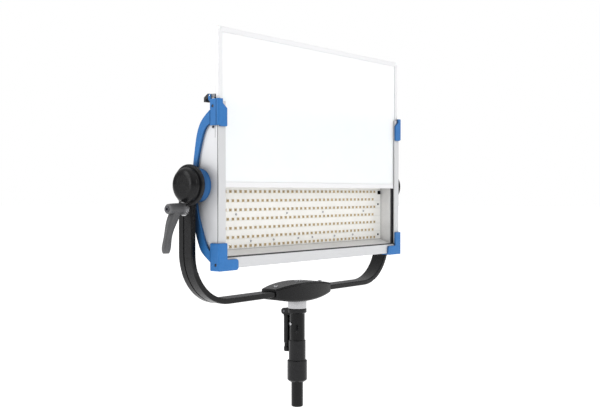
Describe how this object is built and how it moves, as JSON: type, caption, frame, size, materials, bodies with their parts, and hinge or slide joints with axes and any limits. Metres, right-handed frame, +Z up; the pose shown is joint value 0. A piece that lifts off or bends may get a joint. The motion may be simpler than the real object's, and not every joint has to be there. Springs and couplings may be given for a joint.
{
  "type": "led panel light",
  "caption": "Rectangular led panel light head with a sliding diffuser in blue corner guards, hung in a u-shaped yoke on a 28 mm stand adapter.",
  "frame": {"origin": "centre of the shoulder at the foot of the stand adapter, where its 28 mm tail pin begins", "axes": "+Z up along the pan axis, -Y is the way the light faces at rest, X along the tilt axis, +X to the right seen from the front"},
  "size_m": [0.8195, 0.1351, 0.8635],
  "materials": {
    "housing_silver": "satin",
    "guard_blue": "satin",
    "satin_black": "satin",
    "black_plastic": "matte",
    "grip_rubber": "matte",
    "diffuser_white": "satin",
    "diffuser_rail": "satin",
    "handle_grey": "satin",
    "reflector_white": "matte",
    "board_white": "satin",
    "led_phosphor": "matte",
    "machined_steel": "satin",
    "dark_steel": "satin",
    "screw_steel": "polished",
    "plain_aluminium": "matte",
    "display_black": "gloss",
    "circuit_green": "satin",
    "rocker_black": "gloss"
  },
  "bodies": {
    "stand_adapter": {"socket_body": "satin_black", "fold_hinge_pin": "dark_steel", "socket_side_screw": "screw_steel", "socket_ring": "satin_black", "tail_pin": "satin_black"},
    "fold_pin": {"fold_pin": "satin_black"},
    "clamp_screw": {"clamp_screw": "machined_steel"},
    "yoke": {"yoke_bar": "satin_black", "pivot_bushes": "machined_steel", "tilt_discs": "satin_black", "tilt_caps": "satin_black", "clamp_shell_front": "satin_black", "clamp_shell_rear": "satin_black", "clamp_top_plate": "satin_black", "clamp_screws": "screw_steel", "yoke_spigot": "machined_steel", "spigot_nut": "screw_steel", "lever_washer": "machined_steel"},
    "lever_insert": {"lever_insert": "machined_steel", "lever_cap_screw": "dark_steel"},
    "lever_handle": {"lever_handle": "handle_grey"},
    "head": {"front_frame": "housing_silver", "side_plates": "housing_silver", "top_rail": "housing_silver", "bottom_rail": "housing_silver", "rear_cover": "housing_silver", "light_box": "reflector_white", "led_board": "board_white", "led_packages": "led_phosphor", "board_fittings": "screw_steel", "heat_sink": "plain_aluminium", "lower_corner_guards": "guard_blue", "upper_corner_guards": "guard_blue", "latch_pins": "screw_steel", "side_bows": "guard_blue", "pivot_shafts": "machined_steel", "friction_washers": "black_plastic", "side_screws": "dark_steel", "electronics_box": "satin_black", "rear_lid": "satin_black", "lid_screws": "dark_steel", "control_panel": "black_plastic", "display_window": "display_black", "mains_inlet": "black_plastic", "data_sockets": "black_plastic", "network_jack": "black_plastic", "driver_board": "circuit_green", "power_supply": "plain_aluminium", "fan_frame": "black_plastic"},
    "latch_left": {"latch_left": "satin_black"},
    "latch_right": {"latch_right": "satin_black"},
    "diffuser": {"diffuser_sheet": "diffuser_white", "diffuser_frame": "diffuser_rail", "diffuser_corners": "diffuser_white"},
    "menu_button_1": {"menu_button_1": "grip_rubber"},
    "menu_button_2": {"menu_button_2": "grip_rubber"},
    "menu_button_3": {"menu_button_3": "grip_rubber"},
    "encoder_knob": {"encoder_knob": "black_plastic"},
    "power_rocker": {"power_rocker": "rocker_black"},
    "fan_rotor": {"fan_rotor": "black_plastic"}
  },
  "joints": [
    {"name": "pan", "type": "hinge", "parent": "stand_adapter", "child": "yoke", "pos_m": [0, 0, 0], "axis": [0, 0, 1], "continuous": true},
    {"name": "tilt", "type": "hinge", "parent": "yoke", "child": "head", "pos_m": [0, -0.012, 0.472], "axis": [1, 0, 0], "range_deg": [-90, 90]},
    {"name": "diffuser_slide", "type": "slide", "parent": "head", "child": "diffuser", "axis": [0, 0, 1], "range_m": [-0.16, 0.18]},
    {"name": "lever_turn", "type": "hinge", "parent": "yoke", "child": "lever_insert", "pos_m": [-0.39, 0, 0.4225], "axis": [1, 0, 0], "range_deg": [0, 120]},
    {"name": "lever_lift", "type": "slide", "parent": "lever_insert", "child": "lever_handle", "axis": [-1, 0, 0], "range_m": [0, 0.004], "stiffness_N_per_m": 400, "springref_m": -0.002},
    {"name": "clamp_turn", "type": "hinge", "parent": "stand_adapter", "child": "clamp_screw", "pos_m": [0, 0, 0.127], "axis": [0.7771, 0.6293, 0], "range_deg": [0, 180]},
    {"name": "fold_out", "type": "hinge", "parent": "stand_adapter", "child": "fold_pin", "pos_m": [0, 0.032, 0.168], "axis": [1, 0, 0], "range_deg": [0, 95]},
    {"name": "latch_left_open", "type": "hinge", "parent": "head", "child": "latch_left", "pos_m": [-0.335, -0.0455, 0.6585], "axis": [-1, 0, 0], "range_deg": [0, 35]},
    {"name": "latch_right_open", "type": "hinge", "parent": "head", "child": "latch_right", "pos_m": [0.335, -0.0455, 0.6585], "axis": [-1, 0, 0], "range_deg": [0, 35]},
    {"name": "menu_button_1_press", "type": "slide", "parent": "head", "child": "menu_button_1", "axis": [0, -1, 0], "range_m": [0, 0.001], "stiffness_N_per_m": 300, "springref_m": -0.001},
    {"name": "menu_button_2_press", "type": "slide", "parent": "head", "child": "menu_button_2", "axis": [0, -1, 0], "range_m": [0, 0.001], "stiffness_N_per_m": 300, "springref_m": -0.001},
    {"name": "menu_button_3_press", "type": "slide", "parent": "head", "child": "menu_button_3", "axis": [0, -1, 0], "range_m": [0, 0.001], "stiffness_N_per_m": 300, "springref_m": -0.001},
    {"name": "encoder_turn", "type": "hinge", "parent": "head", "child": "encoder_knob", "pos_m": [0.044, 0.05, 0.504], "axis": [0, -1, 0], "continuous": true},
    {"name": "power_rocker_tip", "type": "hinge", "parent": "head", "child": "power_rocker", "pos_m": [0.104, 0.039, 0.396], "axis": [0, 0, 1], "range_deg": [0, 10]},
    {"name": "fan_spin", "type": "hinge", "parent": "head", "child": "fan_rotor", "pos_m": [0.096, 0.03, 0.504], "axis": [0, 1, 0], "continuous": true}
  ]
}
